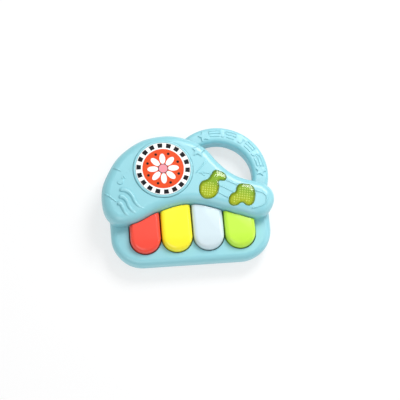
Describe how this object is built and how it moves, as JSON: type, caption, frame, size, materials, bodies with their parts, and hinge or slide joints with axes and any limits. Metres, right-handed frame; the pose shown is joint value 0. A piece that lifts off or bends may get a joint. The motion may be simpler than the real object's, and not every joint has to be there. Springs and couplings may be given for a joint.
{
  "type": "toy electronic keyboard",
  "caption": "Baby's toy keyboard with fat coloured keys, a domed upper cover with a round push button, note-shaped light windows and a ring handle.",
  "frame": {"origin": "middle of the back face of the bounding box; the toy lies on its back", "axes": "+X along the row of keys, low keys to the left; +Y from the keys to the handle; +Z out of the front face"},
  "size_m": [0.17, 0.1399, 0.04],
  "materials": {
    "aqua_shell": "moulded ABS with a soft gloss",
    "red_key": "moulded ABS with a soft gloss",
    "yellow_key": "moulded ABS with a soft gloss",
    "blue_key": "moulded ABS with a soft gloss",
    "green_key": "moulded ABS with a soft gloss",
    "sticker": "printed vinyl",
    "green_lens": "tinted translucent plastic, polished",
    "steel": "zinc plated",
    "contact_metal": "nickel plated spring strip",
    "silicone": "matt silicone rubber",
    "circuit_board": "solder mask",
    "black_resin": "potted epoxy",
    "clear_epoxy": "clear",
    "ferrite": "ground ferrite",
    "paper_cone": "pressed paper",
    "battery_can": "shrink sleeve",
    "black_slider": "moulded, matt"
  },
  "bodies": {
    "housing": {"rear_cover": "aqua_shell", "key_frame": "aqua_shell", "dome_cover": "aqua_shell", "note_lens_single": "green_lens", "note_lens_pair": "green_lens", "key_pivot_rod": "steel", "key_switch_board": "circuit_board", "key_dome_red": "silicone", "key_dome_yellow": "silicone", "key_dome_blue": "silicone", "key_dome_green": "silicone", "main_board": "circuit_board", "sound_chip": "black_resin", "button_dome": "silicone", "led_board": "circuit_board", "led_single": "clear_epoxy", "led_pair": "clear_epoxy", "speaker_frame": "steel", "speaker_cone": "paper_cone", "speaker_magnet": "ferrite", "battery_upper": "battery_can", "battery_lower": "battery_can", "contact_bridge": "contact_metal", "contact_plus": "contact_metal", "contact_minus": "contact_metal", "power_switch": "steel", "housing_screw_1": "steel", "housing_screw_2": "steel", "housing_screw_3": "steel", "housing_screw_4": "steel", "housing_screw_5": "steel", "housing_screw_6": "steel"},
    "red_key": {"key_red": "red_key"},
    "yellow_key": {"key_yellow": "yellow_key"},
    "blue_key": {"key_blue": "blue_key"},
    "green_key": {"key_green": "green_key"},
    "round_button": {"melody_button": "aqua_shell", "label_disc": "sticker"},
    "switch_knob": {"power_slider": "black_slider"},
    "battery_lid": {"battery_door": "aqua_shell", "door_screw_left": "steel", "door_screw_right": "steel"}
  },
  "joints": [
    {"name": "red_key_hinge", "type": "hinge", "parent": "housing", "child": "red_key", "pos_m": [-0.0448, -0.004, 0.016], "axis": [1, 0, 0], "range_deg": [0, 3], "stiffness_Nm_per_rad": 0.5, "springref_deg": -3.44, "deforming": ["key_dome_red"]},
    {"name": "yellow_key_hinge", "type": "hinge", "parent": "housing", "child": "yellow_key", "pos_m": [-0.0136, -0.004, 0.016], "axis": [1, 0, 0], "range_deg": [0, 3], "stiffness_Nm_per_rad": 0.5, "springref_deg": -3.44, "deforming": ["key_dome_yellow"]},
    {"name": "blue_key_hinge", "type": "hinge", "parent": "housing", "child": "blue_key", "pos_m": [0.0176, -0.004, 0.016], "axis": [1, 0, 0], "range_deg": [0, 3], "stiffness_Nm_per_rad": 0.5, "springref_deg": -3.44, "deforming": ["key_dome_blue"]},
    {"name": "green_key_hinge", "type": "hinge", "parent": "housing", "child": "green_key", "pos_m": [0.0488, -0.004, 0.016], "axis": [1, 0, 0], "range_deg": [0, 3], "stiffness_Nm_per_rad": 0.5, "springref_deg": -3.44, "deforming": ["key_dome_green"]},
    {"name": "button_press", "type": "slide", "parent": "housing", "child": "round_button", "axis": [0, 0, -1], "range_m": [0, 0.0018], "stiffness_N_per_m": 600, "springref_m": -0.002, "deforming": ["button_dome"]},
    {"name": "power_slide", "type": "slide", "parent": "housing", "child": "switch_knob", "axis": [1, 0, 0], "range_m": [0, 0.004]},
    {"name": "battery_lid_off", "type": "slide", "parent": "housing", "child": "battery_lid", "axis": [0, 0, -1], "range_m": [0, 0.015]}
  ]
}
